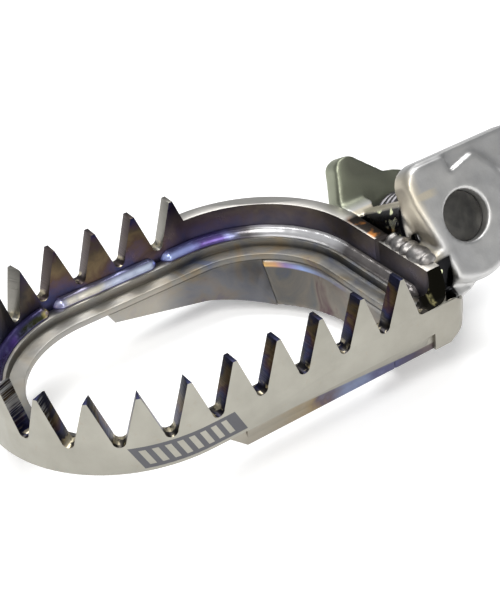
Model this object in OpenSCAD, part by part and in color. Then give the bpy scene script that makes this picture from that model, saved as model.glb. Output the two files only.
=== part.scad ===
// Folding foot peg for an off-road motorcycle, right-hand side.
// Origin: middle of the pivot axis. +X points to the motorcycle, the platform reaches out along -X,
// -Y is the front of the peg and +Z is up. The pivot axis leans by hub_lean, front end high.

/* [Platform] */
// Width of the platform over the outer faces of the cleat band
platform_w = 57; // [56:0.5:59]
// Distance from the centre of the end bend to the hinge end of the band
rail_len = 55.3; // [54:0.1:57]
// Outer radius of the small corner at the front of the hinge end
front_corner_r = 6; // [5:0.5:8]
// Outer radius of the large corner at the rear of the hinge end
rear_corner_r = 27; // [24:0.5:27.5]
// Thickness of the band's sheet
band_t = 3; // [2.8:0.1:3.2]
// Depth of the band below the tooth valleys
band_drop = 5.8; // [5.4:0.1:6.4]
// Height of the plain, toothless edge above the tooth valleys
plain_edge_h = 4.2; // [3.6:0.1:5]

/* [Teeth] */
// Distance between neighbouring tooth tips
tooth_pitch = 8.95; // [8.8:0.05:9.1]
// Height of a tooth above its valleys
tooth_h = 9.5; // [8:0.1:11]
// Width of the flat on a tooth's tip
tip_flat = 0.8; // [0.5:0.1:1.2]
// Radius at the bottom of a valley
valley_r = 1.2; // [0.9:0.1:1.4]
// Distance from the centre of the end bend to the last front tooth
last_front_tooth_x = 42.3; // [41:0.1:43]
// Distance from the centre of the end bend to the last rear tooth
last_rear_tooth_x = 26.3; // [24:0.1:27]
// Number of teeth in the front row
front_teeth = 10; // [9:1:10]
// Number of teeth in the rear row
rear_teeth = 5; // [4:1:5]
// Number of teeth between the two rows, round the end
end_teeth = 4; // [3:1:5]

/* [Frame under the platform] */
// How far the inner ring's shelf reaches in from the band's outer face
shelf_reach = 8.6; // [8:0.1:9.5]
// Depth of the front arm's underside below the tooth valleys
front_arm_drop = 9.5; // [8.8:0.1:10]
// Depth of the hub's apron below the tooth valleys
apron_drop = 15; // [13:0.1:16]

/* [Hinge] */
// Distance from the centre of the end bend to the pivot axis
pivot_reach = 66.5; // [66:0.1:68]
// How far the platform's middle line lies behind the pivot's middle
platform_shift = 5.2; // [4.5:0.1:6]
// Height of the pivot's middle above the tooth valleys
pivot_rise = 0.9; // [0.5:0.1:1.5]
// Lean of the pivot axis from level, front end high
hub_lean = 30; // [28:1:32]
// Width of the hub over its two ears
hub_w = 30; // [29.5:0.5:31]
// Thickness of each ear
ear_t = 5.5; // [5.2:0.1:5.8]
// Outer radius of each ear round the pin
ear_r = 12.3; // [12:0.1:13]
// Diameter of the pivot pin
pin_d = 10; // [9.5:0.1:10.5]
// Radial clearance between the pin and the ears
pin_clear = 0.06; // [0.04:0.01:0.1]

/* [Return spring] */
// Diameter of the spring wire
wire_d = 2; // [1.8:0.1:2.1]
// Mean radius of the coil
coil_r = 6.7; // [6.6:0.1:7]
// Number of full turns
coil_turns = 3; // [2:1:3]

/* [Hidden] */
$fn = 96;
EPS = 0.01;
SLACK = 0.05;
OVER = 1;

// Platform frame: origin in the middle of the end bend, at the height of the tooth valleys
half_w = platform_w / 2;
end_len = PI * half_w;
band_top = tooth_h + OVER;
core_r = valley_r - 0.04;
seam_y = -8;
seam_w = 1.2;

// Tooth tips, as lengths along the band's outer face from the start of the end bend, front rail
// positive, rear rail below -end_len
first_front_tip = last_front_tooth_x - (front_teeth - 1) * tooth_pitch;
first_rear_tip = -end_len - last_rear_tooth_x + (rear_teeth - 1) * tooth_pitch;
end_pitch = (first_front_tip - first_rear_tip) / (end_teeth + 1);
tips = concat(
  [for (k = [0 : front_teeth - 1]) last_front_tooth_x - k * tooth_pitch],
  [for (k = [1 : end_teeth]) first_front_tip - k * end_pitch],
  [for (k = [0 : rear_teeth - 1]) first_rear_tip - k * tooth_pitch]
);
front_row_end = last_front_tooth_x + tooth_pitch / 2;

// Ramp of the band's edge across the front corner, from the outer face inwards
ramp_low = 1.8;
ramp_high = 5.4;

// Inner ring: a narrow upright lip under the fillet weld and a wider shelf below it
lip_top = -2.6;
lip_reach = band_t + 2.4;
shelf_top = -4.4;
fillet = 1.9;
fillet_mid = fillet * 0.6;
fillet_tip = fillet * 0.3;
bead_break = 1;
long_beads_from = -3.2;
rear_bead_break = 20.8;
hinge_bead_from = 8 - half_w;

// Arms and apron
arm_face = 0.6;
front_arm_x = 3;
front_arm_ramp = 4;
rear_arm_x = 6;
rear_arm_drop = 8;
arms_end = 40;
apron_floor_r = 27.5;
apron_floor_centre = [19, -7];
apron_floor_in = shelf_reach + 0.6;
apron_turn = -half_w / 4;
end_slope = 1;
bead_clear = 0.05;
arm_bead_h = 2.2;
front_bead_end = rail_len - front_corner_r - 1.5;
rear_bead_from = rear_arm_x + 2;
rear_bead_end = rail_len - rear_corner_r - 1;

// Hub frame: origin on the pivot axis, +Y along the axis to the rear, leaning with the hub
half_hub = hub_w / 2;
gap_half = half_hub - ear_t;
boss_h = 1.2;
plate_r = ear_r + 0.6;
ear_side_top = [-10.3, 6];
ear_side_foot = [-7, -7.2];
corner_r = 4.4;
tail_len = 17;
tail_drop = 4.6;
tail_web = [13.4, 6.4];
foot_t = 3;
foot_v = -16.5;
foot_waist = [-5.3, -14.4];
foot_heel = [-2.6, -13.6];
foot_joint = [0, 0.5 - ear_r];
shell_out = 11.4;
shell_in = 9.4;
shell_end = -3;
rim_v = 6.8;
horn_centre = [-6.3, 15];
horn_r = 3.2;
horn_side_v = 9;
horn_tangent = 45;
horn_foot = [1.4, 12.2];
spot_face_r = 9.4;
bore_r = pin_d / 2 + pin_clear;
bore_chamfer = 0.4;

// Struts between the band's hinge end and the ears, in the platform frame
tongue_from = -21;
tongue_to = -9;
tongue_long = 5;
rear_strut_from = 1.6;
rear_strut_w = 6;
rear_strut_back = 2;
rear_strut_long = 8;
rear_strut_drop = 12;

// Front strut: the centre and radii of its outer corner in plan, first of the pocket that stays open
// between it and the band, then of the casting, then of the weld laid over it
strut_start = rail_len - 2.8;
strut_end = rail_len + 6.2;
strut_back = 9.5 - half_w;
strut_corner = [rail_len - 0.6, 2.5 - half_w];
strut_lean = 48;
pocket_r = 1.1;
strut_r = 2.1;
weld_r = 2.5;
strut_top = -0.15;
pocket_floor = -4;
pocket_end = rail_len + 3.7;

// Beads that hold the hub on the band
top_bead_r = 2.2;
top_bead_in = 0.8;
front_weld_from = rail_len - front_corner_r + 0.9;
rear_bead_r = 1.7;
rear_bead_u = -shell_out - 0.2;
rear_bead_v = 1.8;
rear_bead_h = 5;

// Pin set, along the hub's Y
pin_recess = 2;
head_r = 7.5;
head_h = 3;
washer_t = 1.2;
washer_r = 8.6;
clip_t = 1;
clip_r = 7.6;
clip_mouth = 7;
groove_depth = 0.9;
clip_from = -gap_half + washer_t + 2 * SLACK;

// Spring: the coil sits against the rear ear. Its front leg runs inboard under the motorcycle's
// bracket, and its rear leg hooks through a slot in the hub's shell
turn_steps = 24;
wire_sides = 10;
coil_steps = coil_turns * turn_steps - 1;
coil_rise = wire_d + 0.08;
coil_len = coil_steps / turn_steps * coil_rise + wire_d;
coil_from = gap_half - coil_len - 0.3;
bracket_leg_angle = -90;
bracket_leg = 14;
hook_leg = 10.5;
slot_w = wire_d + 0.5;
slot_from = 3;

// One loop of the band's outline, moved in by d from its outer face
module outline(d) {
  front_r = max(front_corner_r - d, 1);
  rear_r = rear_corner_r - d;
  edge = half_w - d;
  far = rail_len - d;
  circle(r = edge);
  polygon([
    [0, -edge], [far - front_r, -edge], [far, -edge + front_r],
    [far, edge - rear_r], [far - rear_r, edge], [0, edge]
  ]);
  translate([far - front_r, -edge + front_r])
    circle(r = front_r);
  translate([far - rear_r, edge - rear_r])
    circle(r = rear_r);
}

module loop(outer, inner, bottom, top) {
  translate([0, 0, bottom])
    linear_extrude(top - bottom)
      difference() {
        outline(outer);
        outline(inner);
      }
}

module solid_loop(d, bottom, top) {
  translate([0, 0, bottom])
    linear_extrude(top - bottom)
      outline(d);
}

module platform() {
  translate([-pivot_reach, platform_shift, -pivot_rise])
    children();
}

module hub() {
  rotate([-hub_lean, 0, 0])
    children();
}

// Something drawn on the front rail at x = 0, moved to length s along the band
module along_band(s) {
  if (s >= 0)
    translate([s, -half_w, 0])
      children();
  else if (s > -end_len)
    rotate(s / half_w * 180 / PI)
      translate([0, -half_w, 0])
        children();
  else
    translate([-s - end_len, half_w, 0])
      rotate(180)
        children();
}

// Half the width between two tips that stand gap apart, and how a valley's flank runs: where it ends
// just inside the round bottom, and how far it moves out for each unit of height
function shoulder(gap) = (gap - tip_flat) / 2;
function touch_angle(gap) = atan2(tooth_h - valley_r, shoulder(gap))
  - acos(core_r / norm([shoulder(gap), tooth_h - valley_r]));
function foot_x(gap) = core_r * cos(touch_angle(gap));
function foot_z(gap) = valley_r + core_r * sin(touch_angle(gap));
function slope(gap) = (shoulder(gap) - foot_x(gap)) / (tooth_h - foot_z(gap));

// The opening between two tips: a V with a round bottom
module valley_profile(gap) {
  mouth = shoulder(gap) + slope(gap) * (band_top - tooth_h);
  polygon([
    [-mouth, band_top], [-foot_x(gap), foot_z(gap)],
    [foot_x(gap), foot_z(gap)], [mouth, band_top]
  ]);
  translate([0, valley_r])
    circle(r = valley_r);
}

module valley_cutter(gap) {
  translate([0, band_t + OVER, 0])
    rotate([90, 0, 0])
      linear_extrude(band_t + 2 * OVER)
        valley_profile(gap);
}

// Everything above the plain edge, from the last rear tooth's flank to the hinge end
module plain_edge_cutter() {
  tip = last_rear_tooth_x + tip_flat / 2;
  mouth = tip - slope(tooth_pitch) * OVER;
  flank_end = tip + slope(tooth_pitch) * (tooth_h - plain_edge_h);
  translate([0, half_w + OVER, 0])
    rotate([90, 0, 0])
      linear_extrude(platform_w + OVER - ramp_high)
        polygon([
          [mouth, band_top], [flank_end, plain_edge_h],
          [rail_len + OVER, plain_edge_h], [rail_len + OVER, band_top]
        ]);
}

// Everything above the low edge that runs from the last front valley round the front corner
module front_corner_cutter() {
  translate([front_row_end, -half_w, 0])
    rotate([90, 0, 90])
      linear_extrude(rail_len - front_row_end + OVER)
        polygon([
          [-OVER, 0], [ramp_low, 0], [ramp_high, plain_edge_h],
          [ramp_high + EPS, band_top], [-OVER, band_top]
        ]);
}

module seam(bottom, top) {
  translate([rail_len - band_t - OVER, seam_y - seam_w / 2, bottom])
    cube([band_t + 2 * OVER, seam_w, top - bottom]);
}

module cleat_band() {
  color("silver")
    platform()
      difference() {
        loop(0, band_t, -band_drop, tooth_h);
        for (k = [1 : len(tips) - 1])
          along_band((tips[k] + tips[k - 1]) / 2)
            valley_cutter(tips[k - 1] - tips[k]);
        along_band(front_row_end)
          valley_cutter(tooth_pitch);
        plain_edge_cutter();
        front_corner_cutter();
        seam(-band_drop - OVER, band_top);
      }
}

module band_seam_weld() {
  color("slategray")
    platform()
      intersection() {
        loop(0, band_t, -band_drop, plain_edge_h);
        seam(-band_drop, plain_edge_h);
      }
}

module inner_ring() {
  color("dimgray")
    platform() {
      loop(band_t, lip_reach, shelf_top, lip_top);
      loop(band_t, shelf_reach, -band_drop, shelf_top);
    }
}

// The opening through arms and apron, wide at the shelf and closing in towards its floor
module frame_opening() {
  hull() {
    solid_loop(shelf_reach, -band_drop, -band_drop + OVER);
    translate([0, 0, -apron_drop - OVER])
      linear_extrude(EPS)
        intersection() {
          outline(apron_floor_in);
          translate(apron_floor_centre)
            circle(r = apron_floor_r);
        }
  }
}

module arm_stock() {
  difference() {
    solid_loop(arm_face, -apron_drop, -band_drop);
    frame_opening();
  }
}

module front_arm() {
  color("lightsteelblue")
    platform()
      intersection() {
        arm_stock();
        rotate([90, 0, 0])
          linear_extrude(half_w)
            polygon([
              [front_arm_x, -band_drop], [front_arm_x + front_arm_ramp, -front_arm_drop],
              [arms_end, -front_arm_drop], [arms_end, -band_drop]
            ]);
      }
}

module rear_arm() {
  color("lightsteelblue")
    platform()
      intersection() {
        arm_stock();
        translate([0, half_w, 0])
          rotate([90, 0, 0])
            linear_extrude(half_w)
              polygon([
                [rear_arm_x, -band_drop], [rear_arm_x + end_slope, -rear_arm_drop],
                [arms_end, -apron_drop], [arms_end, -band_drop]
              ]);
      }
}

// A flat piece of the hub: its outline is drawn looking along the pivot axis
module plate(from, thick) {
  translate([0, from + thick, 0])
    rotate([90, 0, 0])
      linear_extrude(thick)
        children();
}

// A round bar or hole on the pivot axis
module on_axis(from, long, radius) {
  translate([0, from, 0])
    rotate([-90, 0, 0])
      cylinder(r = radius, h = long);
}

// Front ear seen from the front: an eye with a straight outer side, a raised outer corner and, on
// top, a tail that runs inboard and stops against the motorcycle's bracket
module front_ear_outline(eye) {
  intersection() {
    circle(r = eye);
    polygon([ear_side_top, ear_side_foot, [ear_side_foot[0], -eye], [eye, -eye], [eye, eye]]);
  }
  translate([ear_side_top[0] + corner_r, eye - corner_r])
    circle(r = corner_r);
  polygon([
    ear_side_top, [ear_side_top[0], eye - corner_r], [ear_side_top[0] + corner_r, eye],
    [0, eye], [0, 0], ear_side_foot
  ]);
}

module tail_outline() {
  polygon([
    [0, plate_r], [tail_len, plate_r], [tail_len, plate_r - tail_drop], tail_web, [ear_r, 0], [0, 0]
  ]);
}

// The ear's foot tapers down to the strut at the front corner of the platform
module ear_foot_outline() {
  polygon([
    ear_side_foot, [ear_side_foot[0], foot_v], foot_waist, foot_heel, foot_joint, [0, 0]
  ]);
}

// Rear ear: an eye with a horn at its upper outer corner, which limits the fold
module rear_ear_outline() {
  circle(r = ear_r);
  translate(horn_centre)
    circle(r = horn_r);
  polygon([
    [-shell_out, 0], [-shell_out, horn_side_v], horn_centre - [horn_r, 0],
    horn_centre + horn_r * [sin(horn_tangent), cos(horn_tangent)], horn_foot, [0, 0]
  ]);
}

// The wall that joins the two ears on their outer side
module shell() {
  difference() {
    on_axis(-gap_half - EPS, 2 * gap_half + 2 * EPS, shell_out);
    on_axis(-gap_half - OVER, 2 * gap_half + 2 * OVER, shell_in);
    translate([-shell_out - OVER, -hub_w / 2, rim_v])
      cube([2 * shell_out + 2 * OVER, hub_w, shell_out]);
    translate([shell_end, -hub_w / 2, -shell_out - OVER])
      cube([2 * shell_out, hub_w, 2 * shell_out + 2 * OVER]);
  }
}

// The part of the frame under the hinge end, deepest at the rear, where the hub hangs lowest
module apron() {
  intersection() {
    arm_stock();
    rotate([90, 0, 90])
      translate([0, 0, arms_end])
        linear_extrude(rail_len - arms_end)
          polygon([
            [-half_w, -band_drop], [-half_w, -front_arm_drop], [apron_turn, -apron_drop],
            [half_w, -apron_drop], [half_w, -band_drop]
          ]);
  }
}

// The front strut's plan with its outer corner rounded to a radius, and its side view
function strut_edge(radius, along) = strut_corner
  + radius * [sin(strut_lean), -cos(strut_lean)] + along * [cos(strut_lean), sin(strut_lean)];
function strut_far(radius) =
  strut_edge(radius, (strut_end - strut_edge(radius, 0)[0]) / cos(strut_lean));
function strut_side(from) = [
  [from, strut_top], [rail_len - 0.8, strut_top], [rail_len + 3.3, -3.1], [strut_end, -6.4],
  [strut_end, -9.2], [rail_len + 2.7, -7.4], [rail_len + 1, -7], [rail_len - 2.3, -front_arm_drop],
  [from, -front_arm_drop]
];

module strut_plan(from, radius) {
  translate(strut_corner)
    circle(r = radius);
  polygon([
    [from, strut_corner[1] - radius], [strut_corner[0], strut_corner[1] - radius],
    strut_edge(radius, 0), strut_far(radius), [strut_end, strut_back], [from, strut_back]
  ]);
}

// Whatever stands on a plan, kept within the strut's side view
module strut_height(from) {
  intersection() {
    translate([0, 0, -apron_drop])
      linear_extrude(apron_drop)
        children();
    rotate([90, 0, 0])
      linear_extrude(half_w)
        polygon(strut_side(from));
  }
}

// Strut from the front corner of the band to the foot of the front ear
module front_strut() {
  difference() {
    strut_height(strut_start)
      strut_plan(strut_start, strut_r);
    translate([0, 0, pocket_floor])
      linear_extrude(band_top)
        intersection() {
          strut_plan(strut_start, pocket_r);
          translate([strut_start, -half_w])
            square([pocket_end - strut_start, tongue_from + half_w]);
        }
  }
}

module tongue() {
  translate([rail_len, tongue_from, -band_drop])
    cube([tongue_long, tongue_to - tongue_from, band_drop + plain_edge_h]);
}

module rear_strut() {
  translate([rail_len - rear_strut_back, rear_strut_from, -rear_strut_drop])
    cube([rear_strut_long, rear_strut_w, rear_strut_drop + plain_edge_h]);
}

module hub_stock() {
  hub() {
    plate(-half_hub + boss_h, ear_t - boss_h) {
      front_ear_outline(plate_r);
      tail_outline();
    }
    plate(-gap_half - foot_t, foot_t)
      ear_foot_outline();
    plate(-half_hub, boss_h + EPS)
      front_ear_outline(ear_r);
    plate(gap_half, ear_t)
      rear_ear_outline();
    shell();
  }
  platform() {
    apron();
    front_strut();
    tongue();
    rear_strut();
  }
}

module hub_casting() {
  color("gray")
    difference() {
      hub_stock();
      platform()
        solid_loop(0, -band_drop, plain_edge_h);
      hub() {
        on_axis(-half_hub - OVER, hub_w + 2 * OVER, bore_r);
        on_axis(-gap_half, 2 * gap_half, shell_in);
        on_axis(half_hub, hub_w, spot_face_r);
        translate([0, -half_hub - EPS, 0])
          rotate([-90, 0, 0])
            cylinder(r1 = bore_r + bore_chamfer, r2 = bore_r, h = bore_chamfer);
        spring_slot();
      }
    }
}

// Fillet bead between the band's inner face and the lip of the inner ring
module ring_fillet() {
  loop(band_t, band_t + fillet_mid, lip_top, lip_top + fillet_mid);
  loop(band_t, band_t + fillet_tip, lip_top + fillet_mid, lip_top + fillet);
  loop(band_t + fillet_mid, band_t + fillet, lip_top, lip_top + fillet_tip);
}

module ring_weld(x0, x1, y0, y1) {
  color("slateblue")
    platform()
      intersection() {
        ring_fillet();
        translate([x0, y0, lip_top])
          cube([x1 - x0, y1 - y0, fillet]);
      }
}

module ring_weld_rear() {
  ring_weld(long_beads_from, rear_bead_break, 0, half_w);
}

module ring_weld_hinge() {
  ring_weld(rear_bead_break + bead_break, rail_len, hinge_bead_from, half_w);
}

module ring_weld_front() {
  ring_weld(long_beads_from, rail_len, -half_w, hinge_bead_from - bead_break);
}

module ring_weld_end() {
  ring_weld(-half_w, long_beads_from - bead_break, -half_w, half_w);
}

// Bead across the top of the band's hinge end, on the band and on the tongue behind it
module hub_weld() {
  color("gainsboro")
    difference() {
      platform()
        intersection() {
          translate([rail_len - top_bead_in, tongue_to, plain_edge_h])
            rotate([90, 0, 0])
              cylinder(r = top_bead_r, h = tongue_to - tongue_from);
          translate([rail_len - band_t, tongue_from, plain_edge_h])
            cube([2 * top_bead_r, tongue_to - tongue_from, top_bead_r]);
        }
      hub() {
        on_axis(-half_hub, hub_w, shell_out);
        plate(-half_hub, ear_t)
          front_ear_outline(plate_r);
        plate(gap_half, ear_t)
          rear_ear_outline();
      }
    }
}

// Bead up the back of the rear ear, across the gap to the band
module hub_rear_weld() {
  color("gainsboro")
    difference() {
      hub()
        translate([rear_bead_u, half_hub, rear_bead_v])
          cylinder(r = rear_bead_r, h = rear_bead_h);
      platform() {
        solid_loop(0, -band_drop - OVER, band_top);
        rear_strut();
      }
      hub()
        plate(gap_half, ear_t)
          rear_ear_outline();
    }
}

// Weld laid over the front strut from the band's front corner, ground flush with the band
module hub_front_weld() {
  color("silver")
    difference() {
      platform()
        strut_height(front_weld_from)
          difference() {
            strut_plan(front_weld_from, weld_r);
            strut_plan(strut_start, strut_r);
            translate([rail_len, strut_far(strut_r)[1]])
              square(half_w);
          }
      platform() {
        solid_loop(0, -band_drop, band_top);
        solid_loop(arm_face, -apron_drop, EPS - band_drop);
      }
      hub() {
        plate(-gap_half - foot_t, foot_t)
          ear_foot_outline();
        plate(-half_hub, ear_t)
          front_ear_outline(plate_r);
      }
    }
}

// Bead along the bottom of the band, on the face of the arm below it
module arm_bead(from, to) {
  rotate([90, 0, 90])
    translate([0, 0, from])
      linear_extrude(to - from)
        polygon([
          [bead_clear - half_w, -band_drop], [arm_face - half_w, -band_drop],
          [arm_face - half_w, -band_drop - arm_bead_h]
        ]);
}

module front_arm_weld() {
  color("mediumpurple")
    platform()
      arm_bead(front_arm_x + front_arm_ramp, front_bead_end);
}

module rear_arm_weld() {
  color("mediumpurple")
    platform()
      mirror([0, 1, 0])
        arm_bead(rear_bead_from, rear_bead_end);
}

module pivot_pin() {
  color("dimgray")
    hub()
      difference() {
        union() {
          on_axis(-half_hub + pin_recess, hub_w - pin_recess + washer_t + 2 * SLACK, pin_d / 2);
          on_axis(half_hub + washer_t + SLACK, head_h, head_r);
        }
        difference() {
          on_axis(clip_from - SLACK, clip_t + 2 * SLACK, pin_d);
          on_axis(clip_from - SLACK, clip_t + 2 * SLACK, pin_d / 2 - groove_depth);
        }
      }
}

module ring_on_pin(from, thick, inside, outside) {
  difference() {
    on_axis(from, thick, outside);
    on_axis(from - OVER, thick + 2 * OVER, inside);
  }
}

module head_washer() {
  color("lightgray")
    hub()
      ring_on_pin(half_hub + SLACK, washer_t, pin_d / 2 + SLACK, washer_r);
}

module thrust_washer() {
  color("lightgray")
    hub()
      ring_on_pin(-gap_half + SLACK, washer_t, pin_d / 2 + SLACK, washer_r);
}

module retaining_clip() {
  color("dimgray")
    hub()
      difference() {
        ring_on_pin(clip_from, clip_t, pin_d / 2 - groove_depth + SLACK, clip_r);
        translate([0, clip_from - OVER, -clip_mouth / 2])
          cube([clip_r + OVER, clip_t + 2 * OVER, clip_mouth]);
      }
}

// Spring wire: the centre line's points with the outward direction at each: front leg, coil, rear
// leg. The wire's section lies in the plane of that direction and the pivot axis.
function coil_angle(turn) = bracket_leg_angle - 360 * turn;
function coil_at(turn) = let (a = coil_angle(turn), out = [cos(a), 0, sin(a)])
  [coil_r * out + [0, coil_from + wire_d / 2 + turn * coil_rise, 0], out];
function leg_at(turn, along) = let (c = coil_at(turn))
  [c[0] + cross([0, 1, 0], c[1]) * along, c[1]];
wire_line = concat(
  [leg_at(0, -bracket_leg), leg_at(0, -bracket_leg / 2)],
  [for (k = [0 : coil_steps]) coil_at(k / turn_steps)],
  [leg_at(coil_steps / turn_steps, hook_leg / 2), leg_at(coil_steps / turn_steps, hook_leg)]
);

// Slot that the spring's rear leg passes through
module spring_slot() {
  last = coil_steps / turn_steps;
  translate(coil_at(last)[0])
    rotate([0, 90 - coil_angle(last), 0])
      translate([slot_from, -slot_w / 2, -slot_w / 2])
        cube([hook_leg, slot_w, slot_w]);
}

module return_spring() {
  rings = len(wire_line);
  skin = [for (p = wire_line, k = [0 : wire_sides - 1])
    p[0] + wire_d / 2 * (p[1] * cos(360 * k / wire_sides) + [0, 1, 0] * sin(360 * k / wire_sides))];
  sides = [for (r = [0 : rings - 2], k = [0 : wire_sides - 1])
    [r * wire_sides + k, r * wire_sides + (k + 1) % wire_sides,
     (r + 1) * wire_sides + (k + 1) % wire_sides, (r + 1) * wire_sides + k]];
  first_end = [for (k = [wire_sides - 1 : -1 : 0]) k];
  last_end = [for (k = [0 : wire_sides - 1]) (rings - 1) * wire_sides + k];
  color("darkslategray")
    hub()
      polyhedron(points = skin, faces = concat(sides, [first_end], [last_end]));
}

cleat_band();
band_seam_weld();
inner_ring();
front_arm();
rear_arm();
hub_casting();
ring_weld_rear();
ring_weld_end();
ring_weld_front();
ring_weld_hinge();
hub_weld();
hub_rear_weld();
hub_front_weld();
front_arm_weld();
rear_arm_weld();
pivot_pin();
head_washer();
thrust_washer();
retaining_clip();
return_spring();
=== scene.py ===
"""Folding foot peg for an off-road motorcycle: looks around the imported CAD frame.

Lengths in this script are in millimetres, and go to Blender in metres. The floor, the lamps and a
name that ends in _m are in metres.
Three frames are used, as in the CAD. The row frame's origin is the middle of the pivot axis. The
platform frame's origin is the middle of the end bend at the height of the tooth valleys. The hub
frame has the row frame's origin and its y axis lies on the pivot axis.
"""
import math
import bmesh
import numpy as np
import bpy
from mathutils import Matrix, Vector


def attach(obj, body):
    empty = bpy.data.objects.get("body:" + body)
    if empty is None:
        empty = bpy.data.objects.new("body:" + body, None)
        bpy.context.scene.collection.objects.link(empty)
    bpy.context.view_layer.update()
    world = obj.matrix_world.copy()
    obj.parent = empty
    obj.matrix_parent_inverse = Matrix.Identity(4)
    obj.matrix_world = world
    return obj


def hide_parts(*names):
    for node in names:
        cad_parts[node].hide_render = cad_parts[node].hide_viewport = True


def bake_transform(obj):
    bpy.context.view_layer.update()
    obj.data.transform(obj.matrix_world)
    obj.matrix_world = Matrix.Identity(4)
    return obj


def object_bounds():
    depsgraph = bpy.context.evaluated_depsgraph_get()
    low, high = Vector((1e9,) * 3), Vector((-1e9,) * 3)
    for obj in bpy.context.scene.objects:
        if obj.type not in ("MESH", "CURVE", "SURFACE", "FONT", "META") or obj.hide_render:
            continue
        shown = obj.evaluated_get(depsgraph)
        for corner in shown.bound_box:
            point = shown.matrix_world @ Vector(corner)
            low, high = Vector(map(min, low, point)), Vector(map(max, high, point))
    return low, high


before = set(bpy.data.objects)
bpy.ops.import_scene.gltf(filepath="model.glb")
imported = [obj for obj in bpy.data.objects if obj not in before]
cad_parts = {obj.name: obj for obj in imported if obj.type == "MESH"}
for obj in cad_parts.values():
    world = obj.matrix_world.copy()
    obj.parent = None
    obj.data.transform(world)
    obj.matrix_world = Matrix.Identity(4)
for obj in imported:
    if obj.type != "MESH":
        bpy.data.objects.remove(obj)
cad_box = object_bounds()

MM = 0.001

# The platform and hub, as in the CAD
PLATFORM = Vector((-66.5, 5.2, -0.9))
HUB_LEAN = math.radians(30)
HUB = Matrix.Rotation(-HUB_LEAN, 3, "X")
HALF_W = 28.5         # to the band's outer face
RAIL_LEN = 55.3       # from the end bend's middle to the hinge end's outer face
FRONT_R = 6.0         # corners of the hinge end, at the outer face
REAR_R = 27.0
BAND_T = 3.0
BAND_DROP = 5.8       # the band's lower edge under the tooth valleys
EDGE_H = 4.2          # the plain top edge over the tooth valleys
LIP_TOP = -2.6        # top of the ring's lip
SAME_SPOT = 0.002     # corners closer than this are one corner
TONGUE_FROM = -21.5   # the stretch of the hinge end that the hub's tongue lies on
TONGUE_TO = -9.0

# Long weld beads in the corner between band and lip, and the bead over the tongue
BEAD_STEP = 0.22
BEAD_REACH = 1.8
BEAD_TAPER = 1.5
BEAD_SIDES = 8
PUDDLES = 4.5
PUDDLE_LOW = 1.5      # the bead's reach between two puddles
PUDDLE_RISE = 0.55    # what a puddle adds to it
PUDDLE_WIDE = 1.15    # half width and height as shares of the reach
PUDDLE_HIGH = 0.9
PUDDLE_STEPS = 60
PUDDLE_SIDES = 10
CLEAR = 0.02          # swept beads stand this far off the faces that they lie on

# Return spring on the pin, as in the CAD
WIRE_R = 1.0
WIRE_SIDES = 16
WIRE_TIP = 0.88       # share of the wire's radius at its two ends
COIL_R = 6.7
COIL_Y = 2.05         # start of the coil along the pivot axis
COIL_RISE = 2.08      # per turn
SPRING_TURNS = 71 / 24  # three turns less 15 degrees
STEPS_PER_TURN = 48
BRACKET_LEG = 14.0
HOOK_LEG = 10.5


# ---------------------------------------------------------------- camera, floor and lights

def aim(obj, forward, roll=0.0):
    """Turns obj so that its -Z looks along forward, rolled about that line."""
    side = forward.cross(Vector((0, 0, 1))).normalized()
    up = side.cross(forward)
    right = side * math.cos(roll) + up * math.sin(roll)
    top = up * math.cos(roll) - side * math.sin(roll)
    turn = Matrix((right, top, -forward)).transposed().to_4x4()
    obj.matrix_world = Matrix.Translation(obj.location) @ turn


def make_camera():
    """The photograph's view: from the front and above, over the outer end."""
    azimuth, elevation, roll = math.radians(29.62), math.radians(33.77), math.radians(-7.59)
    data = bpy.data.cameras.new("camera")
    data.lens = 82.13
    data.sensor_width = 36
    data.clip_start = 0.01
    camera = bpy.data.objects.new("camera", data)
    bpy.context.collection.objects.link(camera)
    camera.location = Vector((-147.99, -185.8, 144.02)) * MM
    forward = Vector((
        math.sin(azimuth) * math.cos(elevation),
        math.cos(azimuth) * math.cos(elevation),
        -math.sin(elevation),
    ))
    aim(camera, forward, roll)
    bpy.context.scene.camera = camera


def area_light(name, place, target, size, power, colour=(1, 1, 1)):
    """A square lamp at place that looks at target."""
    data = bpy.data.lights.new(name, "AREA")
    data.shape = "RECTANGLE"
    data.size = size
    data.size_y = size
    data.energy = power
    data.color = colour
    lamp = bpy.data.objects.new(name, data)
    bpy.context.collection.objects.link(lamp)
    lamp.location = Vector(place)
    aim(lamp, (Vector(target) - lamp.location).normalized())


def make_floor():
    """White paper under the object."""
    low, half = cad_box[0].z, 3.0
    corners = [(-half, -half, low), (half, -half, low), (half, half, low), (-half, half, low)]
    mesh = bpy.data.meshes.new("floor")
    mesh.from_pydata(corners, [], [(0, 1, 2, 3)])
    floor = bpy.data.objects.new("floor", mesh)
    bpy.context.collection.objects.link(floor)
    paper = Look("paper", metallic=0.0)
    paper.set("Base Color", (0.93, 0.93, 0.93, 1))
    paper.set("Roughness", 0.9)
    paper.set("Emission Color", (1, 1, 1, 1))
    paper.set("Emission Strength", 0.3)
    floor.data.materials.append(paper.material)


def make_lights():
    """Three soft lamps and a pale surrounding, as in a product picture."""
    target = (-0.03, 0, 0)
    area_light("key", (-0.45, -0.35, 0.75), target, 0.45, 5.0, (1, 0.99, 0.97))
    area_light("top", (0.1, 0.35, 0.85), target, 0.5, 6.0)
    area_light("front", (-0.1, -0.9, 0.35), target, 0.5, 2.5, (1, 0.98, 0.95))
    world = bpy.data.worlds.new("studio")
    world.use_nodes = True
    sky = world.node_tree.nodes["Background"]
    sky.inputs["Color"].default_value = (0.75, 0.77, 0.80, 1)
    sky.inputs["Strength"].default_value = 0.35
    bpy.context.scene.world = world
    bpy.context.scene.view_settings.view_transform = "Standard"


# ---------------------------------------------------------------- shader nodes

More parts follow.
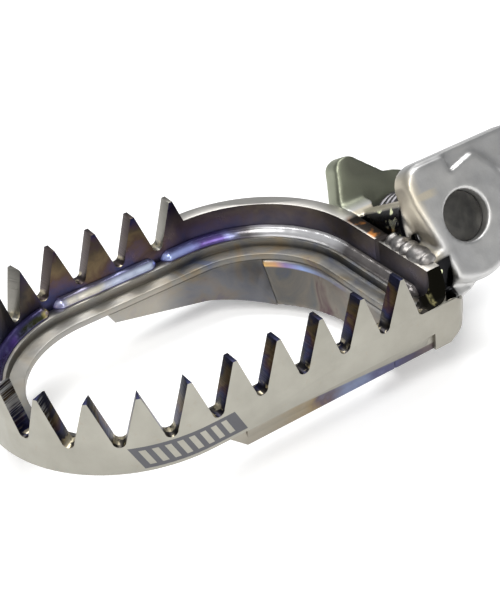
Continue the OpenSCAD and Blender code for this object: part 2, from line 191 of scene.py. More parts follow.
class Look:
    """One procedural material. Its pattern coordinates are millimetres in the row frame at rest."""

    def __init__(self, name, metallic=1.0):
        self.material = bpy.data.materials.new(name)
        self.material.use_nodes = True
        self.tree = self.material.node_tree
        self.shader = self.tree.nodes["Principled BSDF"]
        self.shader.inputs["Metallic"].default_value = metallic
        place = self.tree.nodes.new("ShaderNodeTexCoord")
        scale = self.tree.nodes.new("ShaderNodeMapping")
        scale.inputs["Scale"].default_value = (1 / MM,) * 3
        self.tree.links.new(place.outputs["Object"], scale.inputs["Vector"])
        self.place = scale.outputs["Vector"]
        split = self.tree.nodes.new("ShaderNodeSeparateXYZ")
        self.tree.links.new(self.place, split.inputs[0])
        self.x, self.y, self.z = split.outputs
        self.tone = None

    def feed(self, socket, value):
        """Links a node's output to the socket, or puts a plain value there."""
        if isinstance(value, bpy.types.NodeSocket):
            self.tree.links.new(value, socket)
        else:
            socket.default_value = value

    def set(self, name, value):
        self.feed(self.shader.inputs[name], value)

    def noise(self, size, detail=3.0, rough=0.55, stretch=(1, 1, 1), distort=0.0):
        """Noise whose features measure about size mm, times stretch along each axis."""
        shift = self.tree.nodes.new("ShaderNodeMapping")
        shift.inputs["Scale"].default_value = tuple(1 / s for s in stretch)
        self.tree.links.new(self.place, shift.inputs["Vector"])
        node = self.tree.nodes.new("ShaderNodeTexNoise")
        self.tree.links.new(shift.outputs["Vector"], node.inputs["Vector"])
        node.inputs["Scale"].default_value = 1 / size
        node.inputs["Detail"].default_value = detail
        node.inputs["Roughness"].default_value = rough
        node.inputs["Distortion"].default_value = distort
        return node.outputs["Fac"]

    def calc(self, operation, *values, clamp=False):
        """One step of arithmetic; clamp holds the result from 0 to 1."""
        node = self.tree.nodes.new("ShaderNodeMath")
        node.operation = operation
        node.use_clamp = clamp
        for socket, value in zip(node.inputs, values):
            self.feed(socket, value)
        return node.outputs[0]

    def spread(self, value, low, high, to_low=0.0, to_high=1.0):
        """value's range low to high laid over to_low to to_high, and held there."""
        node = self.tree.nodes.new("ShaderNodeMapRange")
        for socket, number in zip(node.inputs[:5], (value, low, high, to_low, to_high)):
            self.feed(socket, number)
        return node.outputs[0]

    def ramp(self, value, stops):
        """The colour at value along stops, which are places from 0 to 1 with their colours."""
        node = self.tree.nodes.new("ShaderNodeValToRGB")
        marks = node.color_ramp.elements
        while len(marks) < len(stops):
            marks.new(0.5)
        for mark, (where, colour) in zip(marks, stops):
            mark.position = where
            mark.color = (*colour, 1)
        self.feed(node.inputs[0], value)
        return node.outputs["Color"]

    def mix(self, factor, first, second):
        """The first colour where factor is 0, and the second where it is 1."""
        node = self.tree.nodes.new("ShaderNodeMix")
        node.data_type = "RGBA"
        self.feed(node.inputs["Factor"], factor)
        for socket, value in ((node.inputs[6], first), (node.inputs[7], second)):
            self.feed(socket, (*value, 1) if isinstance(value, tuple) else value)
        return node.outputs[2]

    def times(self, first, *others):
        """The product of the values. For masks this is where all of them hold."""
        for other in others:
            first = self.calc("MULTIPLY", first, other)
        return first

    def lay(self, colour, *masks):
        """Lays a colour over the tone so far, where all the masks hold."""
        self.tone = self.mix(self.times(*masks), self.tone, colour)

    def finish(self, rough, height, depth):
        """Gives the shader the tone, a roughness and a bump of about depth mm."""
        bump = self.tree.nodes.new("ShaderNodeBump")
        bump.inputs["Distance"].default_value = depth * MM
        self.feed(bump.inputs["Height"], height)
        self.set("Base Color", self.tone)
        self.set("Roughness", rough)
        self.set("Normal", bump.outputs["Normal"])
        return self


# ---------------------------------------------------------------- places on the object

def platform_axes(look):
    """Position in the platform frame: along the rails, across them, and over the valleys."""
    axes = (look.x, look.y, look.z)
    return [look.calc("SUBTRACT", axis, start) for axis, start in zip(axes, PLATFORM)]


def hub_axes(look):
    """Position in the hub frame: inboard, along the pivot axis, and up across it."""
    cosine, sine = math.cos(HUB_LEAN), math.sin(HUB_LEAN)
    along = look.calc("SUBTRACT", look.times(look.y, cosine), look.times(look.z, sine))
    up = look.calc("ADD", look.times(look.y, sine), look.times(look.z, cosine))
    return look.x, along, up


def near_front(look, fade=0.5):
    """1 up to 2 mm behind the front rail's outer face, and 0 from fade mm behind that."""
    edge = PLATFORM.y - HALF_W + 2
    return look.spread(look.y, edge + fade, edge)


def ground_flush(look):
    """1 where the parts under the front rail are ground flush with it, above their tinted edge."""
    edge = look.spread(look.x, -48, -22, -6.2, -8.1)
    above = look.calc("SUBTRACT", platform_axes(look)[2], edge)
    return look.times(look.spread(above, 0, 0.3), near_front(look))


def shaded_ear_gap(look):
    """1 on the casting's faces between the two ears, outboard of the pin, where painted shade goes.
    """
    u, along, up = hub_axes(look)
    level = platform_axes(look)[2]
    return look.times(
        look.spread(along, -9.9, -9.3), look.spread(along, 8, 7), look.spread(up, 6.4, 5.9),
        look.spread(u, -4, -5), look.spread(level, -5, -4))


def shaded_front_pocket(look):
    """1 on the casting's faces in the pocket behind the hinge end's front corner, where painted
    shade goes.
    """
    level = platform_axes(look)[2]
    strut = look.calc("ADD", look.x, look.times(look.y, -0.9))
    return look.times(
        look.spread(look.y, -15.2, -15.7), look.spread(look.y, -22.2, -21.7),
        look.spread(look.x, -11.6, -11), look.spread(look.x, -6.6, -7.1),
        look.spread(level, 3.9, 3.4), look.spread(level, -4.6, -4.0),
        look.calc("MAXIMUM", look.spread(strut, 8.6, 7.9), look.spread(level, -1.2, -1.8)))


# Etched panel on the front rail: how far its centre lies outboard of and below the row frame's
# origin, its half sizes, and the bars inside it
PANEL_X = 70.0
PANEL_Z = 3.75
PANEL_HALF_X = 9.6
PANEL_HALF_Z = 2.35
BARS_HALF_X = 8.4
BARS_HALF_Z = 1.6
BAR_SLANT = 0.45
BAR_PITCH = 2.1
BAR_SHARE = 0.52


def etched_panel(look):
    """1 on a plain panel on the front rail, and 0 on the slanted bars inside it and elsewhere."""
    along = look.calc("ADD", look.x, PANEL_X)
    up = look.calc("ADD", look.z, PANEL_Z)
    slant = look.calc("MULTIPLY_ADD", up, BAR_SLANT, along)

    def within(value, limit):
        return look.calc("LESS_THAN", look.calc("ABSOLUTE", value), limit)

    front = look.calc("LESS_THAN", look.y, -10)
    panel = look.times(within(slant, PANEL_HALF_X), within(up, PANEL_HALF_Z), front)
    phase = look.calc("FRACT", look.times(slant, 1 / BAR_PITCH))
    bar = look.calc("LESS_THAN", phase, BAR_SHARE)
    bars = look.times(bar, within(up, BARS_HALF_Z), within(slant, BARS_HALF_X))
    return look.calc("SUBTRACT", panel, bars, clamp=True)


# ---------------------------------------------------------------- materials

SATIN_TONE = (0.30, 0.288, 0.25)

# Tint along the long beads, with painted highlights in its cream and blue-white stretches: x in the
# row frame, and the colour there
BEAD_TINT_AND_HIGHLIGHT = (
    (-86.0, (0.03, 0.02, 0.08)), (-82.5, (0.05, 0.03, 0.16)), (-80.5, (0.10, 0.05, 0.27)),
    (-79.3, (0.03, 0.03, 0.06)), (-77.5, (0.025, 0.03, 0.014)), (-73.0, (0.05, 0.055, 0.02)),
    (-71.6, (0.60, 0.50, 0.20)), (-70.4, (0.16, 0.10, 0.42)), (-68.6, (0.52, 0.54, 0.78)),
    (-66.5, (0.84, 0.80, 0.70)), (-59.5, (0.88, 0.84, 0.70)), (-56.5, (0.66, 0.72, 0.92)),
    (-47.5, (0.70, 0.80, 1.00)), (-45.6, (0.14, 0.14, 0.48)), (-43.5, (0.46, 0.56, 0.96)),
    (-38.0, (0.34, 0.38, 0.80)), (-36.0, (0.16, 0.10, 0.36)), (-31.5, (0.15, 0.10, 0.35)),
    (-29.5, (0.42, 0.46, 0.80)), (-27.5, (0.10, 0.10, 0.14)),
)


def under_tint(look):
    """Heat tint along the arms under the rails: straw, gold, purple and blue towards the hub."""
    x = platform_axes(look)[0]
    wander = look.spread(look.noise(4, 3), 0.2, 0.8, -4, 4)
    return look.ramp(look.spread(look.calc("ADD", x, wander), 5, 57), (
        (0.0, (0.30, 0.28, 0.24)), (0.18, (0.27, 0.245, 0.195)), (0.30, (0.24, 0.185, 0.11)),
        (0.36, (0.11, 0.085, 0.10)), (0.44, (0.15, 0.165, 0.24)), (0.50, (0.17, 0.20, 0.30)),
        (0.60, (0.085, 0.085, 0.16)), (0.74, (0.07, 0.06, 0.085)), (0.86, (0.12, 0.095, 0.09)),
        (1.0, (0.20, 0.175, 0.155)),
    ))


def satin_steel():
    """Outer face of the band: fine satin finish with faint handling marks, darker at the hub."""
    look = Look("satin_steel")
    cloud = look.spread(look.noise(14, 4), 0.3, 0.7)
    look.tone = look.mix(cloud, (0.312, 0.302, 0.262), (0.382, 0.370, 0.325))
    look.lay((0.33, 0.28, 0.22), look.spread(look.noise(1.6, 3, rough=0.7), 0.62, 0.74), 0.35)
    look.lay((0.26, 0.245, 0.21), look.spread(look.x, -34, -8, 0, 0.6))
    look.lay((0.115, 0.115, 0.125), etched_panel(look))
    rough = look.spread(look.noise(3, 3), 0.3, 0.7, 0.42, 0.52)
    return look.finish(rough, look.noise(0.3, 2, stretch=(3, 3, 1)), 0.015)


def edge_steel():
    """Ground top edge of the plain stretch and underside of the band; beside the hub it is painted
    near black as shade, with spots of orange scale.
    """
    look = Look("edge_steel")
    look.tone = look.mix(look.noise(6, 3), (0.58, 0.56, 0.52), (0.80, 0.77, 0.72))
    # Painted shade beside the hub: near black, with spots of orange scale
    rust = look.spread(look.noise(2.5, 2), 0.55, 0.68)
    scale = look.mix(rust, (0.03, 0.024, 0.02), (0.32, 0.13, 0.035))
    look.lay(scale, look.spread(look.x, -14.8, -13.6), look.spread(look.y, 8.6, 7),
             look.spread(look.y, -5, -4))
    return look.finish(0.34, look.noise(0.5, 3), 0.02)


def cut_steel():
    """Laser-cut faces of the teeth: heat tint from the valley to the tip, and striations. They are
    lighter grey at the rear row's two ends, have pale striations on the outer end, and are painted
    black as shade beside the hub, with a painted gold highlight line there."""
    look = Look("cut_steel")
    x, y, z = platform_axes(look)
    patch = look.spread(look.noise(4.5, 2, distort=0.5), 0.25, 0.75, -3.0, 3.0)
    front = look.ramp(look.spread(look.calc("ADD", z, patch), 0, 9.5), (
        (0.0, (0.05, 0.045, 0.04)), (0.14, (0.018, 0.018, 0.03)), (0.32, (0.02, 0.022, 0.07)),
        (0.46, (0.045, 0.02, 0.03)), (0.58, (0.095, 0.06, 0.028)), (0.72, (0.07, 0.05, 0.025)),
        (0.84, (0.02, 0.018, 0.035)), (1.0, (0.018, 0.02, 0.045)),
    ))
    rear = look.mix(look.noise(5, 3), (0.05, 0.035, 0.05), (0.10, 0.08, 0.06))
    look.tone = look.mix(look.spread(y, 0, -8), rear, front)

    last_tooth = look.times(look.spread(y, 10, 14), look.spread(x, 19, 22))
    bend = look.times(look.spread(y, 4, 8), look.spread(x, -6, -9))
    look.lay((0.25, 0.24, 0.215), look.calc("ADD", last_tooth, bend, clamp=True))

    stripes = look.noise(0.26, 2, stretch=(26, 26, 1))
    # Pale striations on the upper parts of the outer end's teeth
    pale_striations = look.times(look.spread(z, 1.5, 6), look.spread(stripes, 0.44, 0.6))
    look.lay((0.6, 0.6, 0.58), look.spread(x, -22.5, -24), look.spread(y, -1, -4), pale_striations)

    glint = look.spread(look.noise(1.6, 2), 0.5, 0.58)
    look.lay((0.72, 0.64, 0.45), look.spread(z, 1.5, 0.5), glint, 0.7)

    # Painted shade beside the hub: these cut faces are painted near black, with a painted gold
    # highlight line at x = 50.4 and less roughness
    corner = look.spread(x, 47.5, 48.5)
    off_highlight_streak = look.calc("ABSOLUTE", look.calc("SUBTRACT", x, 50.4))
    highlight_streak = look.times(look.spread(off_highlight_streak, 0.7, 0.25),
                        look.spread(look.noise(1.6, 2), 0.4, 0.55))
    look.lay(look.mix(highlight_streak, (0.022, 0.02, 0.014), (0.85, 0.76, 0.36)), corner)
    return look.finish(look.calc("SUBTRACT", 0.36, look.times(corner, 0.18)), stripes, 0.06)


def tinted_steel():
    """Inner faces near the welds: heat tint in bands that follow the height above the bead."""
    look = Look("tinted_steel")
    height = look.calc("SUBTRACT", look.z, LIP_TOP + PLATFORM.z)
    wander = look.spread(look.noise(7, 4, distort=0.7), 0.25, 0.75, -3.2, 3.2)
    look.tone = look.ramp(look.spread(look.calc("ADD", height, wander), 0, 13), (
        (0.0, (0.035, 0.04, 0.11)), (0.14, (0.05, 0.048, 0.10)), (0.26, (0.07, 0.05, 0.075)),
        (0.38, (0.085, 0.055, 0.04)), (0.52, (0.13, 0.095, 0.055)), (0.66, (0.085, 0.065, 0.045)),
        (0.8, (0.07, 0.045, 0.06)), (0.92, (0.045, 0.035, 0.085)), (1.0, (0.025, 0.025, 0.07)),
    ))
    hinge_end = look.ramp(look.noise(9, 3), (
        (0.35, (0.04, 0.038, 0.05)), (0.55, (0.075, 0.065, 0.06)), (0.7, (0.05, 0.05, 0.08)),
    ))
    look.lay(hinge_end, look.spread(look.x, -34, -22), 0.75)
    look.lay((0.028, 0.024, 0.055), look.spread(look.x, -46, -42),
             look.spread(look.x, -22, -30), 0.6)
    look.lay((0.012, 0.014, 0.02), look.spread(look.x, -70, -76), look.spread(look.y, 4, 8), 0.75)
    rough = look.spread(look.noise(4, 3), 0.3, 0.7, 0.26, 0.38)
    return look.finish(rough, look.noise(0.5, 3), 0.02)


def frame_steel():
    """Ring and arms: ground grey steel with blotches of blue and gold. The rear of the shelf is
    paler with a painted highlight, the wall under it bluer, and the front arm's outer side tinted
    below a flush strip."""
    look = Look("frame_steel")
    look.tone = look.ramp(look.noise(9, 4, distort=0.9), (
        (0.25, (0.06, 0.09, 0.19)), (0.38, (0.12, 0.125, 0.14)), (0.5, (0.18, 0.17, 0.15)),
        (0.6, (0.22, 0.17, 0.10)), (0.68, (0.12, 0.09, 0.10)), (0.8, (0.06, 0.06, 0.14)),
    ))
    look.lay((0.17, 0.165, 0.155), 0.35)
    # Painted highlight: the rear of the shelf is painted paler
    look.lay((0.38, 0.365, 0.33), look.spread(look.x, -42, -50), look.spread(look.y, 6, 12), 0.6)
    look.lay((0.08, 0.09, 0.13), look.spread(look.z, -6.5, -8.5),
             look.spread(look.x, -50, -42), 0.4)
    band_foot = PLATFORM.z - BAND_DROP
    look.lay(under_tint(look), look.spread(look.z, band_foot + 0.1, band_foot - 0.1),
             near_front(look, 1))
    flush = ground_flush(look)
    look.lay(SATIN_TONE, flush)
    rough = look.spread(look.noise(5, 3), 0.3, 0.7, 0.32, 0.44)
    return look.finish(look.calc("ADD", rough, look.times(flush, 0.08)), look.noise(1.4, 3), 0.03)


def bead_steel():
    """Long weld beads: smooth and glossy, tinted along them with painted highlights in cream and
    blue-white, with painted shade at the toes and a grey hinge end that has one white stretch of
    painted highlight at the rear."""
    look = Look("bead_steel", metallic=0.6)
    first, last = BEAD_TINT_AND_HIGHLIGHT[0][0], BEAD_TINT_AND_HIGHLIGHT[-1][0]
    place = look.calc("ADD", look.x, look.spread(look.noise(3, 3), 0.3, 0.7, -1.0, 1.0))
    look.tone = look.ramp(look.spread(place, first, last),
                          [((x - first) / (last - first), colour) for x, colour in BEAD_TINT_AND_HIGHLIGHT])
    look.lay((0.26, 0.28, 0.50), look.spread(look.noise(1.6, 3), 0.5, 0.75, 0, 0.35))
    level = platform_axes(look)[2]
    # Painted shade along the bead's two toes, which narrows its bright middle
    toes = look.calc("MAXIMUM", look.spread(level, -1.4, -1.0), look.spread(level, -2.1, -2.4))
    look.lay((0.045, 0.038, 0.13), toes, 0.85)
    grey = look.mix(look.noise(4, 3), (0.07, 0.065, 0.07), (0.26, 0.24, 0.23))
    look.lay(grey, look.spread(look.x, -30, -25))
    # Painted white highlight on the hinge bead's rear stretch
    look.lay((0.86, 0.86, 0.88), look.spread(look.x, -26, -23), look.spread(look.x, -10, -15),
             look.spread(look.y, 6, 10), 0.8)
    return look.finish(0.25, look.noise(2.5, 2), 0.012)


def seam_steel():
    """Short beads at the hub: lumpy warm grey."""
    look = Look("seam_steel")
    lumps = look.spread(look.noise(2.5, 3), 0.35, 0.65)
    look.tone = look.mix(lumps, (0.17, 0.16, 0.155), (0.42, 0.405, 0.39))
    return look.finish(0.44, look.noise(0.8, 3), 0.05)


def under_steel():
    """Ground beads below the rails."""
    look = Look("under_steel")
    look.tone = look.mix(ground_flush(look), under_tint(look), SATIN_TONE)
    rough = look.spread(look.noise(3, 3), 0.3, 0.7, 0.36, 0.48)
    return look.finish(rough, look.noise(0.5, 3), 0.02)


def cast_steel():
    """Hub casting: satin outside with warm painted highlights on the front ear's side and rim, a
    rear ear darkened to green-grey as painted shade, ground on the apron with a strip of heat tint
    lightened into a painted highlight, and painted shade in the pockets, partly scale, with painted
    glints."""
    look = Look("cast_steel")
    u, along, up = hub_axes(look)
    level = platform_axes(look)[2]
    cloud = look.spread(look.noise(7, 4), 0.3, 0.7)
    look.tone = look.mix(cloud, (0.47, 0.47, 0.47), (0.57, 0.565, 0.55))

    # Warm painted highlight along the front ear's outboard side and its rim
    side = look.times(look.spread(u, -7.5, -9.5), look.spread(along, -9, -10))
    rim = look.times(look.spread(up, 5.6, 6.2), look.spread(up, 7.6, 7.2),
                     look.spread(u, -4, -6), look.spread(along, 9.3, 8.8))
    look.lay((0.68, 0.61, 0.47), look.calc("MAXIMUM", side, rim), 0.75)

    # Painted shade: the rear ear's face is darkened to green-grey, and darker still in mottled
    # patches
    rear_ear = look.times(look.spread(along, 6.5, 9), look.spread(up, 4, 7))
    look.lay((0.29, 0.31, 0.22), rear_ear, 0.9)
    shade = look.spread(look.noise(9, 1), 0.4, 0.7, 0, 0.55)
    look.lay((0.09, 0.085, 0.075), rear_ear, shade, look.spread(along, 11, 9.6))

    blotches = look.ramp(look.noise(9, 4, distort=0.9), (
        (0.28, (0.06, 0.09, 0.19)), (0.42, (0.15, 0.15, 0.145)), (0.55, (0.20, 0.18, 0.155)),
        (0.66, (0.11, 0.07, 0.08)), (0.78, (0.06, 0.06, 0.15)),
    ))
    apron = look.times(look.spread(level, -4.5, -7), look.spread(u, -9, -11))
    look.lay(look.mix(near_front(look), blotches, under_tint(look)), apron)
    look.lay(SATIN_TONE, apron, ground_flush(look))
    # Heat tint on a strip of the apron, lightened into a painted highlight of gold, purple and blue
    heat = look.times(look.spread(level, -7.4, -7.1), look.spread(level, -6.1, -6.5),
                      look.spread(look.y, 0, 3), look.spread(u, -19.5, -21.5))
    look.lay(look.ramp(look.spread(u, -27.5, -20.5), (
        (0.1, (0.90, 0.62, 0.24)), (0.4, (0.80, 0.46, 0.26)), (0.6, (0.42, 0.32, 0.62)),
        (0.85, (0.38, 0.50, 0.85)),
    )), apron, heat)

    # Painted shade in the pockets: near black, partly scale, with painted glints
    dark = look.calc("ADD", shaded_ear_gap(look), shaded_front_pocket(look), clamp=True)
    glint = look.spread(look.noise(2.4, 1), 0.62, 0.66)
    look.lay(look.mix(glint, (0.01, 0.01, 0.011), (0.75, 0.78, 0.5)), dark)
    rough = look.calc("SUBTRACT", look.spread(look.noise(3, 3), 0.3, 0.7, 0.42, 0.52),
                      look.times(dark, 0.25))
    return look.finish(rough, look.noise(0.5, 3), 0.02)


def black_oxide():
    """Pivot pin and its clip."""
    look = Look("black_oxide")
    look.set("Base Color", look.mix(look.noise(2, 3), (0.06, 0.06, 0.062), (0.14, 0.135, 0.12)))
    look.set("Roughness", look.spread(look.noise(1.5, 3), 0.3, 0.7, 0.35, 0.5))
    return look


def zinc():
    """Washers."""
    look = Look("zinc")
    look.set("Base Color", look.mix(look.noise(1.2, 4), (0.50, 0.51, 0.53), (0.68, 0.68, 0.66)))
    look.set("Roughness", look.spread(look.noise(1, 3), 0.3, 0.7, 0.25, 0.4))
    return look


def spring_wire():
    """Oiled spring steel."""
    look = Look("spring_wire")
    look.set("Base Color", look.mix(look.noise(1.5, 3), (0.07, 0.07, 0.08), (0.17, 0.16, 0.16)))
    look.set("Roughness", look.spread(look.noise(1, 3), 0.3, 0.7, 0.28, 0.42))
    return look


# ---------------------------------------------------------------- mesh helpers

def platform_xyz(point_m):
    """A point in the row frame, in metres, as platform coordinates in millimetres."""
    return Vector(point_m) / MM - PLATFORM


def inset(x, y):
    """How far a platform point lies inside the band's outer face."""
    if x < 0:
        return HALF_W - math.hypot(x, y)
    front, rear = RAIL_LEN - FRONT_R, RAIL_LEN - REAR_R
    if x > front and y < FRONT_R - HALF_W:
        return FRONT_R - math.hypot(x - front, y + HALF_W - FRONT_R)
    if x > rear and y > HALF_W - REAR_R:
        return REAR_R - math.hypot(x - rear, y - HALF_W + REAR_R)
    return min(HALF_W - abs(y), RAIL_LEN - x)


def outline(d, step):
    """Points about step apart along the line that lies d inside the band's outer face, from the
    start of the front rail at x = 0, round the front corner, the hinge end and the outer end."""
    front_r, rear_r = FRONT_R - d, REAR_R - d
    front, rear, side = RAIL_LEN - FRONT_R, RAIL_LEN - REAR_R, HALF_W - d
    stretches = [
        ("line", (0, -side), (front, -side)),
        ("arc", (front, FRONT_R - HALF_W), front_r, -90, 0),
        ("line", (RAIL_LEN - d, FRONT_R - HALF_W), (RAIL_LEN - d, HALF_W - REAR_R)),
        ("arc", (rear, HALF_W - REAR_R), rear_r, 0, 90),
        ("line", (rear, side), (0, side)),
        ("arc", (0, 0), side, 90, 270),
    ]
    points = []
    for kind, *shape in stretches:
        if kind == "line":
            start, end = Vector(shape[0]), Vector(shape[1])
            count = max(2, round((end - start).length / step))
            points += [start.lerp(end, k / count) for k in range(count)]
        else:
            centre, radius, first, last = shape
            count = max(4, round(math.radians(last - first) * radius / step))
            for k in range(count):
                angle = math.radians(first + (last - first) * k / count)
                points.append(Vector(centre) + radius * Vector((math.cos(angle), math.sin(angle))))
    return points


def new_piece(name, mesh, looks, body="peg"):
    """A rigid piece that moves with a body."""
    piece = bpy.data.objects.new(name, mesh)
    bpy.context.collection.objects.link(piece)
    for look in looks:
        mesh.materials.append(look.material)
    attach(piece, body)
    return piece


def copied(node):
    """A CAD node's mesh as a bmesh with shared corners and whole flat faces."""
    made = bmesh.new()
    made.from_mesh(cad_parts[node].data)
    bmesh.ops.remove_doubles(made, verts=made.verts, dist=SAME_SPOT * MM)
    bmesh.ops.dissolve_limit(made, angle_limit=math.radians(0.6), verts=made.verts,
                             edges=made.edges)
    return made


def soften(made, width, angle=28):
    """Rounds the sharp edges, as handling and deburring leave them."""
    sharp = [e for e in made.edges if e.is_manifold and e.calc_face_angle() > math.radians(angle)]
    bmesh.ops.bevel(made, geom=sharp, offset=width * MM, segments=2, profile=0.6,
                    affect="EDGES", clamp_overlap=True)


def finish_mesh(made, name, smooth_angle=32):
    """Turns a bmesh into a mesh that shades smooth over angles below smooth_angle degrees."""
    for face in made.faces:
        face.smooth = True
    for edge in made.edges:
        edge.smooth = not edge.is_manifold or edge.calc_face_angle() < math.radians(smooth_angle)
    mesh = bpy.data.meshes.new(name)
    made.to_mesh(mesh)
    made.free()
    return mesh


def swept_mesh(name, rings, smooth_angle=60):
    """A solid through rings of points, given in the row frame."""
    made = bmesh.new()
    rows = [[made.verts.new(spot * MM) for spot in ring] for ring in rings]
    count = len(rows[0])
    for first, second in zip(rows, rows[1:]):
        for k in range(count):
            after = (k + 1) % count
            made.faces.new((first[k], first[after], second[after], second[k]))
    made.faces.new(rows[0])
    made.faces.new(rows[-1])
    bmesh.ops.recalc_face_normals(made, faces=made.faces)
    return finish_mesh(made, name, smooth_angle)


def softened_piece(name, node, look, width, body="peg"):
    """A CAD node with its edges broken over width."""
    made = copied(node)
    soften(made, width)
    piece = new_piece(name, finish_mesh(made, name), [look], body)
    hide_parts(node)
    return piece


def relaxed(mesh, rounds, share):
    """Flows a mesh's edges away; share says how much of each round a point takes, 0 to 1."""
    count = len(mesh.vertices)
    spots = np.empty(count * 3)
    mesh.vertices.foreach_get("co", spots)
    spots = spots.reshape(count, 3)
    ends = np.empty(len(mesh.edges) * 2, dtype=np.int64)
    mesh.edges.foreach_get("vertices", ends)
    first, second = ends.reshape(-1, 2).T
    near = np.bincount(first, minlength=count) + np.bincount(second, minlength=count)
    weight = share(spots / MM)[:, None]
    for _ in range(rounds):
        total = np.zeros_like(spots)
        for axis in range(3):
            total[:, axis] = np.bincount(first, spots[second, axis], count)
            total[:, axis] += np.bincount(second, spots[first, axis], count)
        spots += 0.5 * weight * (total / near[:, None] - spots)
    mesh.vertices.foreach_set("co", spots.ravel())


def cast_piece(name, node, look, voxel, rounds, share):
    """A casting: the CAD solid with its edges and inner corners flowed into each other."""
    draft = bpy.data.objects.new("draft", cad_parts[node].data.copy())
    bpy.context.collection.objects.link(draft)
    weld = draft.modifiers.new("weld", "WELD")
    weld.merge_threshold = SAME_SPOT * MM
    skin = draft.modifiers.new("skin", "REMESH")
    skin.mode = "VOXEL"
    skin.voxel_size = voxel * MM
    bpy.context.view_layer.update()
    flowed = draft.evaluated_get(bpy.context.evaluated_depsgraph_get())
    mesh = bpy.data.meshes.new_from_object(flowed)
    bpy.data.objects.remove(draft)
    mesh.name = name
    mesh.materials.clear()
    relaxed(mesh, rounds, share)
    for face in mesh.polygons:
        face.use_smooth = True
    piece = new_piece(name, mesh, [look])
    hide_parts(node)
    return piece


def hub_softness(spots):
    """How far points of the casting flow, from places in the row frame. The ears' outboard sides
    and the front ear's rim are softest, the apron keeps its shape and the bore stays crisp."""
    cosine, sine = math.cos(HUB_LEAN), math.sin(HUB_LEAN)
    u = spots[:, 0]
    up = sine * spots[:, 1] + cosine * spots[:, 2]
    along = cosine * spots[:, 1] - sine * spots[:, 2]
    from_axis = np.hypot(u, up)

    def rise(value, start, length):
        return np.clip((value - start) / length, 0, 1)

    side = rise(-u, 4, 3) * rise(np.abs(along), 8.5, 1.5)
    bore = rise(from_axis, 5.6, 1.2)
    front = rise(-along, 12.5, 1.5)
    lip = rise(from_axis, 10.3, 1) * front
    apron = rise(-u, 11, 1) * rise(-spots[:, 2], 6.2, 1)
    share = np.maximum(np.maximum(0.14 + 0.16 * front, side), 0.8 * lip)
    return bore * share * (1 - 0.85 * apron)


# ---------------------------------------------------------------- pieces

def make_band():
    """The cleat band, with a finish for each kind of face."""
    made = copied("cleat_band")
    soften(made, 0.14)
    outer, inner, cut, edge = range(4)
    near = 0.25  # how close to the sheet's outer or inner side such a face's middle lies
    for face in made.faces:
        spot = platform_xyz(face.calc_center_median())
        depth = inset(spot.x, spot.y)
        upright = abs(face.normal.z) < 0.35
        plain_top = face.normal.z > 0.8 and EDGE_H - 0.2 < spot.z < EDGE_H + 0.3
        underside = spot.z < 1 - BAND_DROP
        if upright and depth < near:
            face.material_index = outer
        elif upright and depth > BAND_T - near:
            face.material_index = inner
        elif plain_top or underside:
            face.material_index = edge
        else:
            face.material_index = cut
    piece = new_piece("cleats", finish_mesh(made, "cleats"),
                      [OUTER, TINT, CUT, EDGE])
    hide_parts("cleat_band")


def taper(k, steps, length, least):
    """A bead's share of its full size at step k of steps. It is full from length steps after one
    end to length steps before the other, and keeps the root of least at both."""
    return math.sqrt(min(1.0, max(least, min(k, steps - k) / length)))


def ring_bead(name, node, inside):
    """The bead in the corner between the band and the ring's lip, where inside(point) holds."""
    line = outline(BAND_T, BEAD_STEP)
    count = len(line)
    start = next(k for k in range(count) if inside(line[k]) and not inside(line[k - 1]))
    long = next(k for k in range(1, count) if not inside(line[(start + k) % count]))
    arc = [math.radians(90 * j / BEAD_SIDES) for j in range(BEAD_SIDES + 1)]
    rings = []
    for k in range(long):
        here = line[(start + k) % count]
        along = (line[(start + k + 1) % count] - line[(start + k - 1) % count]).normalized()
        inwards = Vector((-along.y, along.x))
        travelled = k * BEAD_STEP
        ripple = 0.012 * math.sin(travelled * 0.9) + 0.006 * math.sin(travelled * 2.3)
        reach = BEAD_REACH * taper(k, long - 1, BEAD_TAPER / BEAD_STEP, 0.03) * (1 + ripple)
        profile = [(0, 0)] + [(reach * math.cos(angle), reach * math.sin(angle)) for angle in arc]
        rings.append([
            Vector((*(here + inwards * (CLEAR + across)), LIP_TOP + CLEAR + up)) + PLATFORM
            for across, up in profile])
    piece = new_piece(name, swept_mesh(name, rings), [BEAD])
    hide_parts(node)


def make_ring_beads():
    """Four beads, with a break between each and the next at these places in the platform frame."""
    end_x, rear_x, corner_y = (-4.2, -3.2), (20.8, 21.8), (-21.5, -20.5)
    ring_bead("ring_bead_front", "ring_weld_front",
              lambda p: p.x > end_x[1] and p.y < corner_y[0])
    ring_bead("ring_bead_hinge", "ring_weld_hinge",
              lambda p: p.x > rear_x[1] and p.y > corner_y[1])
    ring_bead("ring_bead_rear", "ring_weld_rear",
              lambda p: end_x[1] < p.x < rear_x[0] and p.y > 0)
    ring_bead("ring_bead_end", "ring_weld_end", lambda p: p.x < end_x[0])


def make_front_weld():
    """The ground weld over the front strut, run out to nothing on the band's flat face."""
    made = copied("hub_front_weld")
    outboard = min(corner.co.x for corner in made.verts)
    on_edge = [corner for corner in made.verts if corner.co.x < outboard + 0.02 * MM]
    for corner in on_edge:
        corner.co.x = (RAIL_LEN - FRONT_R + PLATFORM.x) * MM
    soften(made, 0.2, angle=40)
    piece = new_piece("corner_weld", finish_mesh(made, "corner_weld", 45), [OUTER])
    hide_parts("hub_front_weld")


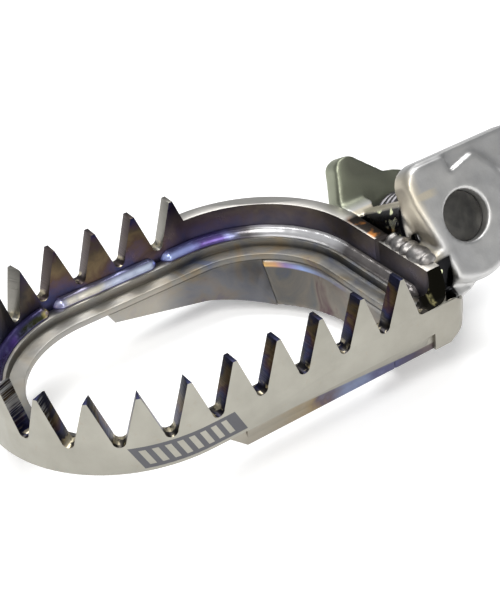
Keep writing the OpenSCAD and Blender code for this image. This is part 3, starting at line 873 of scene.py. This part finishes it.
def make_hub_bead():
    """The bead over the tongue, laid in overlapping puddles."""
    arc = [math.radians(180 * j / PUDDLE_SIDES) for j in range(PUDDLE_SIDES + 1)]
    middle, inner_face = RAIL_LEN - 0.6, RAIL_LEN - BAND_T + CLEAR
    rings = []
    for k in range(PUDDLE_STEPS + 1):
        share = k / PUDDLE_STEPS
        puddle = abs(math.sin(math.pi * (share * PUDDLES + 0.25 + 0.2 * math.sin(k * 0.19))))
        reach = (PUDDLE_LOW + PUDDLE_RISE * puddle) * taper(k, PUDDLE_STEPS, 6, 0.02)
        y = TONGUE_FROM + (TONGUE_TO - TONGUE_FROM) * share
        rings.append([Vector((
            max(middle + PUDDLE_WIDE * reach * math.cos(angle), inner_face),
            y,
            EDGE_H + CLEAR / 2 + PUDDLE_HIGH * reach * math.sin(angle),
        )) + PLATFORM for angle in arc])
    piece = new_piece("hub_bead", swept_mesh("hub_bead", rings), [SEAM])
    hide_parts("hub_weld")


def spring_line():
    """The wire's centre line in the hub frame, with the outward direction at each point."""
    steps = round(SPRING_TURNS * STEPS_PER_TURN)
    coil = []
    for k in range(steps + 1):
        turn = k / STEPS_PER_TURN
        angle = math.radians(-90 - 360 * turn)
        out = Vector((math.cos(angle), 0, math.sin(angle)))
        coil.append((COIL_R * out + Vector((0, COIL_Y + turn * COIL_RISE, 0)), out))

    def leg(start, length):
        spot, out = start
        away = Vector((0, 1, 0)).cross(out)
        return [(spot + away * length * share, out) for share in (0.5, 0.98, 1)]

    return leg(coil[0], -BRACKET_LEG)[::-1] + coil + leg(coil[-1], HOOK_LEG)


def make_spring():
    """The torsion spring: its coil with the front leg and the rear leg, swept as one round wire."""
    line = spring_line()
    round_wire = [math.tau * j / WIRE_SIDES for j in range(WIRE_SIDES)]
    rings = []
    for k, (spot, out) in enumerate(line):
        radius = WIRE_R * (WIRE_TIP if k in (0, len(line) - 1) else 1)
        rings.append([
            HUB @ (spot + radius * (out * math.cos(angle) + Vector((0, math.sin(angle), 0))))
            for angle in round_wire])
    mesh = swept_mesh("spring", rings, 50)
    mesh.materials.append(WIRE.material)
    piece = bpy.data.objects.new("spring", mesh)
    bpy.context.collection.objects.link(piece)
    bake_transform(piece)
    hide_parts("return_spring")


# ---------------------------------------------------------------- the scene

make_camera()
make_floor()
make_lights()

OUTER = satin_steel()
CUT = cut_steel()
TINT = tinted_steel()
EDGE = edge_steel()
FRAME = frame_steel()
BEAD = bead_steel()
SEAM = seam_steel()
UNDER = under_steel()
CAST = cast_steel()
OXIDE = black_oxide()
ZINC = zinc()
WIRE = spring_wire()

make_band()
softened_piece("ring", "inner_ring", FRAME, 0.25)
softened_piece("arm_front", "front_arm", FRAME, 0.3)
softened_piece("arm_rear", "rear_arm", FRAME, 0.3)
cast_piece("hub", "hub_casting", CAST, voxel=0.3, rounds=40, share=hub_softness)
make_ring_beads()
make_hub_bead()
make_front_weld()
softened_piece("rear_ear_bead", "hub_rear_weld", SEAM, 0.3)
softened_piece("arm_front_bead", "front_arm_weld", UNDER, 0.3)
softened_piece("arm_rear_bead", "rear_arm_weld", UNDER, 0.3)
softened_piece("clevis_pin", "pivot_pin", OXIDE, 0.5, "pin")
softened_piece("washer_head", "head_washer", ZINC, 0.2, "pin")
softened_piece("washer_thrust", "thrust_washer", ZINC, 0.2, "pin")
softened_piece("pin_clip", "retaining_clip", OXIDE, 0.15, "pin")
make_spring()

# The seam weld stays the CAD node that it is, with the inner faces' look
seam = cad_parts["band_seam_weld"].data
seam.materials.clear()
seam.materials.append(TINT.material)
